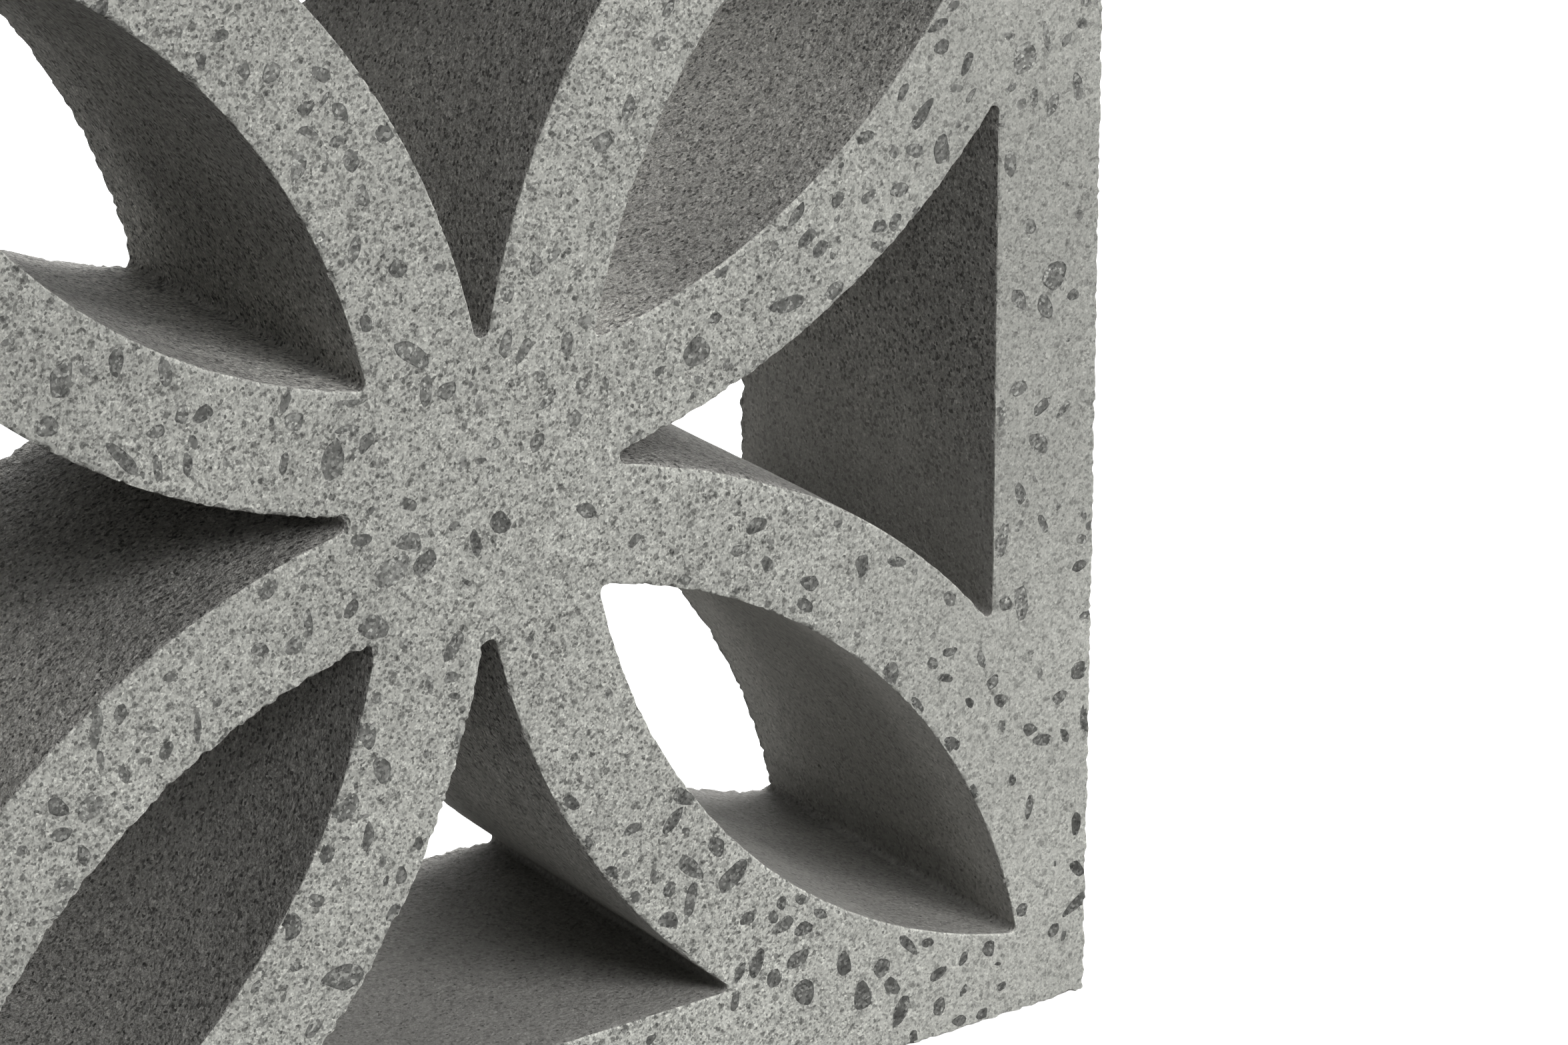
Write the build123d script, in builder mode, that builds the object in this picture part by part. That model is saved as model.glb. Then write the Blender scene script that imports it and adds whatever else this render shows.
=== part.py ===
from build123d import *
import os

# Pierced concrete screen block, cast in one piece and ground flat on its show face.
# Millimetres, +Z up. The block stands on its lower bed face, as laid in a screen wall.
# Origin: centre of the lower bed face. The ground show face looks along -Y and the
# back face along +Y.

# ---- outside ---------------------------------------------------------------
face_size = 290.0            # width and height of the square (300 module less a 10 joint)
thickness = 90.0             # front to back
outer_corner_radius = 1.2    # rounding of the four long outer corners

# ---- pierced pattern -------------------------------------------------------
# Every curve is struck from one of four points, one just beyond the middle of each side.
arc_centre = 151.6           # from the middle of the block to each striking point
petal_radius = 129.2         # arcs that bound the four leaf openings
rib_radius = 153.2           # arcs that bound the four three-sided openings
border_inner = 119.5         # from the middle of the block to the inner face of the border
petal_tip_radius = 1.3
triangle_tip_radius = 1.7
triangle_corner_radius = 1.1

# Points of one leaf, which lies between the striking points above and to the right.
petal_span = (2.0 * petal_radius ** 2 - arc_centre ** 2) ** 0.5
petal_inner = (arc_centre - petal_span) / 2.0
petal_outer = (arc_centre + petal_span) / 2.0
petal_side = arc_centre - petal_radius / 2.0 ** 0.5
petal_bulge = petal_radius / 2.0 ** 0.5

# Points of the three-sided opening to the right of the hub.
triangle_tip = (rib_radius ** 2 - arc_centre ** 2) ** 0.5
triangle_corner = arc_centre - (rib_radius ** 2 - border_inner ** 2) ** 0.5
triangle_mid_x = (triangle_tip + border_inner) / 2.0
triangle_mid_y = arc_centre - (rib_radius ** 2 - triangle_mid_x ** 2) ** 0.5

# Leaf opening: the lens common to two discs.
with BuildSketch() as petal:
    with BuildLine():
        ThreePointArc(
            (petal_inner, petal_inner), (petal_bulge, petal_side), (petal_outer, petal_outer)
        )
        ThreePointArc(
            (petal_outer, petal_outer), (petal_side, petal_bulge), (petal_inner, petal_inner)
        )
    make_face()
    fillet(petal.vertices(), radius=petal_tip_radius)

# Three-sided opening: two arcs that bow into it, and the straight inner face of the border.
with BuildSketch() as triangle:
    with BuildLine():
        ThreePointArc(
            (triangle_tip, 0.0), (triangle_mid_x, triangle_mid_y), (border_inner, triangle_corner)
        )
        Line((border_inner, triangle_corner), (border_inner, -triangle_corner))
        ThreePointArc(
            (border_inner, -triangle_corner), (triangle_mid_x, -triangle_mid_y), (triangle_tip, 0.0)
        )
    make_face()
    fillet(triangle.vertices().sort_by(Axis.X)[-2:], radius=triangle_corner_radius)
    fillet(triangle.vertices().sort_by(Axis.X)[0], radius=triangle_tip_radius)

# The show face lies in this plane: local x is +X, local y is +Z, and it looks along -Y.
show_face = Plane(
    origin=(0.0, -thickness / 2.0, face_size / 2.0), x_dir=(1, 0, 0), z_dir=(0, -1, 0)
)

# ---- block: one casting, pierced from front to back --------------------------
with BuildPart() as block:
    with BuildSketch(show_face):
        RectangleRounded(face_size, face_size, outer_corner_radius)
        for quarter in range(4):
            add(petal.sketch, rotation=90.0 * quarter, mode=Mode.SUBTRACT)
            add(triangle.sketch, rotation=90.0 * quarter, mode=Mode.SUBTRACT)
    extrude(amount=-thickness)

block.part.label = "block"

os.makedirs("parts", exist_ok=True)
export_step(block.part, "parts/block.step")

solids = block.part.solids()
box = block.part.bounding_box()
print("solids", len(solids), "volume cm3", round(block.part.volume / 1000.0, 1))
print("size", box.size, "min", box.min, "max", box.max)
print("petal tips", round(petal_inner, 2), round(petal_outer, 2))
print("triangle tip, corner", round(triangle_tip, 2), round(triangle_corner, 2))
print("faces", len(block.part.faces()))
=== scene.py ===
import math

import bpy
import numpy as np
from mathutils import Matrix, Vector
from mathutils.geometry import delaunay_2d_cdt
from mathutils.kdtree import KDTree


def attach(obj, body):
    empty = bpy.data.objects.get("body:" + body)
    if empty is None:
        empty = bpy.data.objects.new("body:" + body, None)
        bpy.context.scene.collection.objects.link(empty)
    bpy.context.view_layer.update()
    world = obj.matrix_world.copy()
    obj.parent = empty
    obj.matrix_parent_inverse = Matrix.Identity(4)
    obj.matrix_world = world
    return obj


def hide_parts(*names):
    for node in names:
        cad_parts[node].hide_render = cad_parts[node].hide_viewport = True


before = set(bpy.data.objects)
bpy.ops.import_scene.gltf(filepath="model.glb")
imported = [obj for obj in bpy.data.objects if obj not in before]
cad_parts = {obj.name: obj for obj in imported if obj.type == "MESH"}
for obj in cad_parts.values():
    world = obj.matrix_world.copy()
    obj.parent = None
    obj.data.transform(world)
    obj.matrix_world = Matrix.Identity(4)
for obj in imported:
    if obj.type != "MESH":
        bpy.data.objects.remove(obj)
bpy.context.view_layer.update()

# Lengths below are in millimetres. The block's middle is at z = 145, its show face at y = -45.
MM = 0.001
HALF = 145.0
DEEP = 90.0
FRONT = -45.0
CORNER_R = 1.2
ARC_C = 151.6
LEAF_R = 129.2
RIB_R = 153.2
BORDER = 119.5
LEAF_TIP_R = 1.3
TRI_TIP_R = 1.7
TRI_CORNER_R = 1.1


# ---------------------------------------------------------------- noise
class Noise:
    """Smooth 3-D gradient noise, about -1 to 1, the same on every run."""

    def __init__(self, seed):
        r = np.random.RandomState(seed)
        self.p = np.tile(r.permutation(256), 2)
        g = r.normal(size=(256, 3))
        self.g = g / np.linalg.norm(g, axis=1)[:, None]

    def __call__(self, pts, size):
        q = np.asarray(pts, float) / size
        i = np.floor(q).astype(int)
        f = q - i
        u = f * f * f * (f * (f * 6 - 15) + 10)
        out = np.zeros(len(q))
        for dx in (0, 1):
            for dy in (0, 1):
                for dz in (0, 1):
                    h = self.p[(i[:, 0] + dx) & 255]
                    h = self.p[(h + ((i[:, 1] + dy) & 255)) & 255]
                    h = self.p[(h + ((i[:, 2] + dz) & 255)) & 255]
                    d = f - np.array([dx, dy, dz])
                    w = (
                        (u[:, 0] if dx else 1 - u[:, 0])
                        * (u[:, 1] if dy else 1 - u[:, 1])
                        * (u[:, 2] if dz else 1 - u[:, 2])
                    )
                    out += w * np.einsum("ij,ij->i", self.g[h], d)
        return out * 1.7


noise_a = Noise(11)
noise_b = Noise(23)
noise_c = Noise(37)


# ---------------------------------------------------------------- outlines
# Each outline is a closed counter-clockwise path in the face plane, about the block's middle.
# n points out of the concrete, into the opening or the air.
def arc(cx, cz, r, a0, a1, sign, step):
    return ("arc", cx, cz, r, a0, a1, sign, step)


def line(x0, z0, x1, z1, nx, nz, step):
    return ("line", x0, z0, x1, z1, nx, nz, step)


def leaf_path(step, fine):
    q, r, rho = ARC_C, LEAF_R, LEAF_TIP_R
    w = math.sqrt(2 * (r - rho) ** 2 - q * q)
    ti, to = (q - w) / 2, (q + w) / 2
    a_in, a_out = math.atan2(ti - q, ti), math.atan2(to - q, to)
    b_out, b_in = math.atan2(to, to - q), math.atan2(ti, ti - q)
    return [
        arc(0, q, r, a_in, a_out, -1, step),
        arc(to, to, rho, a_out, b_out, -1, fine),
        arc(q, 0, r, b_out, b_in, -1, step),
        arc(ti, ti, rho, b_in, a_in + 2 * math.pi, -1, fine),
    ]


def tri_path(step, fine):
    q, r, d = ARC_C, RIB_R, BORDER
    xt = math.sqrt((r + TRI_TIP_R) ** 2 - q * q)
    xc = d - TRI_CORNER_R
    zc = q - math.sqrt((r + TRI_CORNER_R) ** 2 - xc * xc)
    at, ac = math.atan2(q, xt), math.atan2(q - zc, xc)
    return [
        arc(0, -q, r, at, ac, 1, step),
        arc(xc, -zc, TRI_CORNER_R, ac + math.pi, 2 * math.pi, -1, fine),
        line(d, -zc, d, zc, -1, 0, step),
        arc(xc, zc, TRI_CORNER_R, 0, math.pi - ac, -1, fine),
        arc(0, q, r, -ac, -at, 1, step),
        arc(xt, 0, TRI_TIP_R, math.pi - at, math.pi + at, -1, fine),
    ]


def outer_path(step, fine):
    h, r = HALF, CORNER_R
    k = h - r
    out = []
    for i in range(4):
        c, s = round(math.cos(i * math.pi / 2)), round(math.sin(i * math.pi / 2))
        turn = lambda x, z: (c * x - s * z, s * x + c * z)
        x0, z0 = turn(h, -k)
        x1, z1 = turn(h, k)
        nx, nz = turn(1, 0)
        out.append(line(x0, z0, x1, z1, nx, nz, step))
        cx, cz = turn(k, k)
        out.append(arc(cx, cz, r, i * math.pi / 2, (i + 1) * math.pi / 2, 1, fine))
    return out


class Loop:
    """One outline, sampled at its rim columns and densely between them."""

    def __init__(self, path, turns, outer=False):
        c, s = round(math.cos(turns * math.pi / 2)), round(math.sin(turns * math.pi / 2))
        rot = np.array([[c, -s], [s, c]], float)
        self.outer = outer
        pts, nrm, cols, fine, at = [], [], [], [], 0.0
        sub = 8
        for seg in path:
            if seg[0] == "arc":
                _, cx, cz, r, a0, a1, sign, step = seg
                length = abs(a1 - a0) * r
                n = max(2, int(math.ceil(length / step)))
                t = a0 + (a1 - a0) * np.arange(n * sub) / (n * sub)
                rad = np.stack([np.cos(t), np.sin(t)], 1)
                p, m = np.array([cx, cz]) + r * rad, sign * rad
                small = r < 5
            else:
                _, x0, z0, x1, z1, nx, nz, step = seg
                length = math.hypot(x1 - x0, z1 - z0)
                n = max(2, int(math.ceil(length / step)))
                t = (np.arange(n * sub) / (n * sub))[:, None]
                p = np.array([x0, z0]) * (1 - t) + np.array([x1, z1]) * t
                m = np.tile([nx, nz], (n * sub, 1)).astype(float)
                small = False
            cols += list(at + length * np.arange(n) / n)
            fine += [small] * n
            pts.append(np.column_stack([at + length * np.arange(n * sub) / (n * sub), p, m]))
            at += length
        dense = np.vstack(pts)
        dense[:, 1:3] = dense[:, 1:3] @ rot.T
        dense[:, 3:5] = dense[:, 3:5] @ rot.T
        first = dense[0].copy()
        first[0] = at
        self.dense = np.vstack([dense, first])
        self.length = at
        self.s = np.array(cols)
        self.fine = np.array(fine)
        self.n = len(cols)

    def at(self, s):
        """Place and outward normal at lengths s along the outline."""
        s = np.mod(s, self.length)
        d = self.dense
        out = [np.interp(s, d[:, 0], d[:, k]) for k in (1, 2, 3, 4)]
        p, n = np.stack(out[:2], 1), np.stack(out[2:], 1)
        return p, n / np.linalg.norm(n, axis=1)[:, None]

    def inward(self, p, n):
        """Way into the concrete along the face, for each millimetre of inset."""
        if not self.outer:
            return -n
        k = HALF - CORNER_R
        return -np.clip(p / k, -1, 1)


STEP, FINE = 0.86, 0.42
loops = []
for turns in range(4):
    loops.append(Loop(leaf_path(STEP, FINE), turns))
    loops.append(Loop(tri_path(STEP, FINE), turns))
loops.append(Loop(outer_path(1.05, 0.5), 0, outer=True))
LEAF_LOOPS, TRI_LOOPS, OUTER = loops[0:8:2], loops[1:8:2], loops[8]


def in_concrete(x, z):
    """Positive where the face is concrete, negative in an opening or outside."""
    ax, az = np.abs(x), np.abs(z)
    out = np.maximum(np.hypot(ax, az - ARC_C) - LEAF_R, np.hypot(ax - ARC_C, az) - LEAF_R)
    for u, v in ((ax, az), (az, ax)):
        into = np.maximum.reduce(
            [u - BORDER, RIB_R - np.hypot(u, v - ARC_C), RIB_R - np.hypot(u, v + ARC_C)]
        )
        out = np.minimum(out, into)
    return np.minimum(out, np.minimum(HALF - ax, HALF - az))


edge_samples = np.vstack([np.column_stack([l.dense[:-1:2, 1:3], np.full(len(l.dense[:-1:2]), i), l.dense[:-1:2, 0]])
                          for i, l in enumerate(loops)])
edge_tree = KDTree(len(edge_samples))
for i, row in enumerate(edge_samples):
    edge_tree.insert((row[0], row[1], 0.0), i)
edge_tree.balance()


def edge_distance(x, z):
    """How far a point of the face is from the nearest edge; negative in an opening."""
    x, z = np.atleast_1d(x), np.atleast_1d(z)
    d = np.array([edge_tree.find((a, b, 0.0))[2] for a, b in zip(x, z)])
    return np.where(in_concrete(x, z) > 0, d, -d)


# ---------------------------------------------------------------- worn arrises
def jitter(s, length, knot, seed):
    """Random bumps along a closed outline, about one to each knot length."""
    n = max(8, int(length / knot))
    r = np.random.RandomState(seed).normal(0, 1, n)
    return np.interp(s / length * n, np.arange(n + 1), np.append(r, r[0]))


def rim_shape(loop, index, back):
    """Size and hollow of the edge wear at each dense sample of an outline."""
    s = loop.dense[:, 0]
    p = np.column_stack([loop.dense[:, 1], loop.dense[:, 2], np.full(len(s), 60.0 if back else 0.0)])
    rng = np.random.RandomState(500 + index * 2 + back)
    fine = jitter(s, loop.length, 1.0, 900 + index * 2 + back)
    rough = noise_b(p, 2.9) + 0.75 * noise_c(p, 1.35) + 0.7 * fine
    slow = noise_a(p, 24.0)
    if back:
        size = 0.78 + 0.46 * rough + 0.18 * slow
        hollow = 0.54 + 0.20 * rough
        every, small, large, reach = 13.0, 0.9, 1.8, (0.9, 2.6)
    else:
        # most broken along the edges on the lower left, cleanest where the wall looks up and right
        where = np.clip(0.5 - (loop.dense[:, 1] + loop.dense[:, 2]) / 150.0, 0.0, 1.0)
        clean = np.clip(0.5 + 0.7 * (loop.dense[:, 3] + loop.dense[:, 4]), 0.0, 1.0)
        if loop.outer:
            clean = 0.25
        ragged = np.clip(0.10 + 0.60 * where + 0.60 * (1.0 - clean) + 0.4 * slow, 0.08, 1.4)
        size = 0.30 + 0.40 * ragged * rough + 0.10 * np.clip(loop.dense[:, 4], 0, 1)
        hollow = 0.34 + 0.42 * ragged * rough
        every, small, large, reach = 15.0, 0.35, 1.0, (0.5, 1.3)
    if loop.outer:
        size = size + 0.12
    size = np.maximum(size, 0.12)
    for _ in range(int(loop.length / every)):
        at = rng.uniform(0, loop.length)
        half = rng.uniform(*reach)
        deep = small + (large - small) * rng.uniform() ** 2.2
        d = np.abs((s - at + loop.length / 2) % loop.length - loop.length / 2) / half
        bump = np.clip(1 - d ** 2, 0, 1) ** 0.6
        size = np.maximum(size, deep * bump)
        hollow = np.where(bump > 0.3, rng.uniform(0.5, 0.72), hollow)
    return size, np.clip(hollow, 0.05, 0.75)


def worn_band(loop, size, hollow, start, end, width, seed):
    """A longer rubbed stretch: a flat bevel whose width wanders."""
    s = loop.dense[:, 0]
    p = np.column_stack([loop.dense[:, 1], loop.dense[:, 2], np.full(len(s), seed)])
    t = np.clip((s - start) / (end - start), 0, 1)
    env = np.clip(np.minimum(t, 1 - t) / 0.16, 0, 1) ** 0.7 * ((s > start) & (s < end))
    band = width * env * (0.86 + 0.16 * noise_a(p, 6.0) + 0.12 * noise_b(p, 1.9))
    take = band > size
    return np.where(take, band, size), np.where(take, 0.47, hollow)


rims = []
for i, loop in enumerate(loops):
    front = rim_shape(loop, i, 0)
    if loop is TRI_LOOPS[0]:
        # The lower arc of the right-hand opening is rubbed back near its narrow end.
        front = worn_band(loop, front[0], front[1], 3.0, 47.0, 1.75, 3.3)
    rims.append((front, rim_shape(loop, i, 1)))


def wrap(u, size, hollow):
    """Inset along the face and depth down the wall of a point u past the edge (u < 0: on the face)."""
    k = hollow * size
    t = np.clip((u + size) / (2 * size), 0, 1)
    inset = np.where(u < -size, -u, (1 - t) ** 2 * size + 2 * t * (1 - t) * k)
    depth = np.where(u > size, u, t * t * size + 2 * t * (1 - t) * k)
    return inset, depth


# ---------------------------------------------------------------- mesh
verts, tris, quads = [], [], []
total = 0
TRI_KIND, QUAD_KIND = [], []
GROUND, CAST, STONE = 0, 1, 2


def put(points):
    global total
    start = total
    verts.append(np.asarray(points, float))
    total += len(points)
    return np.arange(start, total)


def cast_sway(p2, y, n, outer):
    """Slow unevenness of a cast wall along its normal; the outer sides only ever go in."""
    q = np.column_stack([p2[:, 0], y, p2[:, 1]])
    fade = np.clip((y - FRONT - 2.0) / 7.0, 0, 1) * np.clip((45.0 - y - 2.0) / 7.0, 0, 1)
    sway = 0.16 * noise_a(q, 31.0) + 0.09 * noise_b(q, 9.0) + 0.045 * noise_c(q, 3.6)
    if outer:
        sway = -0.10 - np.abs(sway) * 0.7
        fade = np.clip((y - FRONT) / 3.0, 0, 1) * np.clip((45.0 - y) / 3.0, 0, 1)
    return sway * fade


FRONT_ROWS = (-0.8, -0.3, 0.0, 0.3, 0.9, 2.6)
BACK_ROWS = (2.4, 0.8, 0.0, -0.8)
rings = []
quad_arris = []
for i, loop in enumerate(loops):
    p, n = loop.at(loop.s)
    m = loop.inward(p, n)
    (fs, fh), (bs, bh) = rims[i]
    s_dense = loop.dense[:, 0]
    at_col = lambda a: np.interp(loop.s, s_dense, a)
    rows = []
    for u in FRONT_ROWS:
        inset, depth = wrap(np.full(loop.n, u), at_col(fs), at_col(fh))
        xz = p + inset[:, None] * m
        rows.append(put(np.column_stack([xz[:, 0], FRONT + depth, xz[:, 1]])))
    for u in BACK_ROWS:
        inset, depth = wrap(np.full(loop.n, u), at_col(bs), at_col(bh))
        xz = p + inset[:, None] * m
        rows.append(put(np.column_stack([xz[:, 0], 45.0 - depth, xz[:, 1]])))
    rings.append(rows)
    nf = len(FRONT_ROWS)
    for r in list(range(nf - 1)) + list(range(nf, nf + len(BACK_ROWS) - 1)):
        quad_arris.append(np.full(loop.n, 1.0 if r in (1, 2) else 0.0))
        a, b = rows[r], rows[r + 1]
        a2, b2 = np.roll(a, -1), np.roll(b, -1)
        # Openings run counter-clockwise round a hole, the outline round the solid.
        q = np.column_stack([a, a2, b2, b]) if not loop.outer else np.column_stack([a, b, b2, a2])
        quads.append(q)
        QUAD_KIND.append(np.full(loop.n, GROUND if r < 3 else CAST))


class Sieve:
    """Keeps points apart."""

    def __init__(self, cell):
        self.cell, self.grid = cell, {}

    def free(self, x, z, r):
        c = self.cell
        i0, i1 = int(math.floor((x - r) / c)), int(math.floor((x + r) / c))
        j0, j1 = int(math.floor((z - r) / c)), int(math.floor((z + r) / c))
        for i in range(i0, i1 + 1):
            for j in range(j0, j1 + 1):
                for px, pz in self.grid.get((i, j), ()):
                    if (px - x) ** 2 + (pz - z) ** 2 < r * r:
                        return False
        return True

    def add(self, x, z):
        key = (int(math.floor(x / self.cell)), int(math.floor(z / self.cell)))
        self.grid.setdefault(key, []).append((x, z))


def inside(poly, pts):
    """Which points lie in a closed polygon."""
    x, z = pts[:, 0], pts[:, 1]
    hit = np.zeros(len(pts), bool)
    a, b = poly, np.roll(poly, -1, 0)
    for (x0, z0), (x1, z1) in zip(a, b):
        if z0 == z1:
            continue
        cross = (z0 > z) != (z1 > z)
        hit ^= cross & (x < (x1 - x0) * (z - z0) / (z1 - z0) + x0)
    return hit


def triangulate(pts, edges):
    """Constrained triangles of a point set; returns points, source ids and triangles."""
    out = delaunay_2d_cdt([Vector((float(x), float(z))) for x, z in pts], edges, [], 0, 1e-6, True)
    co = np.array([(v.x, v.y) for v in out[0]])
    ids = np.array([o[0] if len(o) else -1 for o in out[3]])
    keep = ids >= 0
    co[keep] = np.asarray(pts)[ids[keep]]
    t = np.array([f for f in out[2] if len(f) == 3])
    a, b, c = co[t[:, 0]], co[t[:, 1]], co[t[:, 2]]
    area = (b[:, 0] - a[:, 0]) * (c[:, 1] - a[:, 1]) - (b[:, 1] - a[:, 1]) * (c[:, 0] - a[:, 0])
    t[area < 0] = t[area < 0][:, ::-1]
    return co, ids, t[np.abs(area) > 1e-9]


# Walls between the two rims, laid flat as (length along the outline, depth).
WALL0, WALL1 = FRONT_ROWS[-1], DEEP - BACK_ROWS[0]
rng = np.random.RandomState(77)
for i, loop in enumerate(loops):
    length = loop.length
    top, low = rings[i][len(FRONT_ROWS) - 1], rings[i][len(FRONT_ROWS)]
    pts, glob, edges = [], [], []
    sieve = Sieve(3.0)

    def push(s, v, g=-1):
        pts.append((s, v))
        glob.append(g)
        sieve.add(s, v)
        return len(pts) - 1

    for row, v in ((top, WALL0), (low, WALL1)):
        first = len(pts)
        for k in range(loop.n):
            push(loop.s[k], v, row[k])
        push(length, v, row[0])
        edges += [(first + k, first + k + 1) for k in range(loop.n)]
    levels = np.linspace(WALL0, WALL1, 19)[1:-1]
    # seam, and the tight curves at the tips and corners
    seam = []
    for v in levels:
        seam.append((push(0.0, v), push(length, v)))
    chain = [0] + [a for a, _ in seam] + [loop.n + 1]
    edges += list(zip(chain[:-1], chain[1:]))
    chain = [loop.n] + [b for _, b in seam] + [2 * loop.n + 1]
    edges += list(zip(chain[:-1], chain[1:]))
    tight = np.flatnonzero(loop.fine | np.roll(loop.fine, 1))
    for k in tight:
        if k == 0:
            continue
        ids = [push(loop.s[k], v) for v in levels]
        chain = [k] + ids + [loop.n + 1 + k]
        edges += list(zip(chain[:-1], chain[1:]))
    # air holes left by the casting
    holes = []
    count = int(length * (WALL1 - WALL0) / (900.0 if loop.outer else 520.0))
    for _ in range(count * 3):
        if len(holes) >= count:
            break
        r = 0.28 + 0.5 * rng.uniform() ** 2.5
        s, v = rng.uniform(3, length - 3), rng.uniform(WALL0 + 1.5, WALL1 - 1.5)
        if not sieve.free(s, v, r + 0.9):
            continue
        turn = rng.uniform(0, math.pi)
        ring = []
        stretch = rng.uniform(0.75, 1.0)
        for a in np.arange(7) * 2 * math.pi / 7:
            rr = r * rng.uniform(0.85, 1.15)
            ring.append((s + rr * math.cos(a + turn), v + stretch * rr * math.sin(a + turn)))
        ids = [push(*q) for q in ring]
        edges += [(ids[a], ids[(a + 1) % 7]) for a in range(7)]
        mid = push(s, v)
        holes.append((mid, r * rng.uniform(0.9, 1.5)))
    for depth, space in ((1.25, 2.3), (3.4, 3.5)):
        for v in (WALL0 + depth, WALL1 - depth):
            for s in np.arange(space * 0.5, length - space * 0.4, space):
                if sieve.free(s, v, space * 0.45):
                    push(s, v)
    space = 4.7
    for j, v in enumerate(np.arange(WALL0 + 6.6, WALL1 - 6.0, space * 0.866)):
        for s in np.arange(space * (0.5 if j % 2 else 1.0), length - space * 0.4, space):
            x, y = s + rng.uniform(-0.5, 0.5), v + rng.uniform(-0.5, 0.5)
            if sieve.free(x, y, space * 0.5):
                push(x, y)
    co, ids, t = triangulate(pts, edges)
    glob = np.array(glob)
    source = np.where(ids >= 0, glob[np.maximum(ids, 0)], -1)
    new = np.flatnonzero(source < 0)
    # the right-hand seam points are the left-hand ones
    mirror = {b: a for a, b in seam}
    index = source.copy()
    back_of = {}
    fresh = [q for q in new if not (ids[q] >= 0 and ids[q] in mirror)]
    p, n = loop.at(co[fresh, 0])
    y = FRONT + co[fresh, 1]
    push_in = cast_sway(p, y, n, loop.outer)
    deep_of = {mid: d for mid, d in holes}
    for a, q in enumerate(fresh):
        if ids[q] in deep_of:
            push_in[a] -= deep_of[ids[q]]
        back_of[ids[q]] = a
    xz = p + push_in[:, None] * n
    got = put(np.column_stack([xz[:, 0], y, xz[:, 1]]))
    index[fresh] = got
    for q in new:
        if ids[q] >= 0 and ids[q] in mirror:
            index[q] = got[back_of[mirror[ids[q]]]]
    f = index[t]
    # (s, v) counter-clockwise faces the opening when the outline runs counter-clockwise round it
    tris.append(f if not loop.outer else f[:, ::-1])
    TRI_KIND.append(np.full(len(f), CAST))


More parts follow.
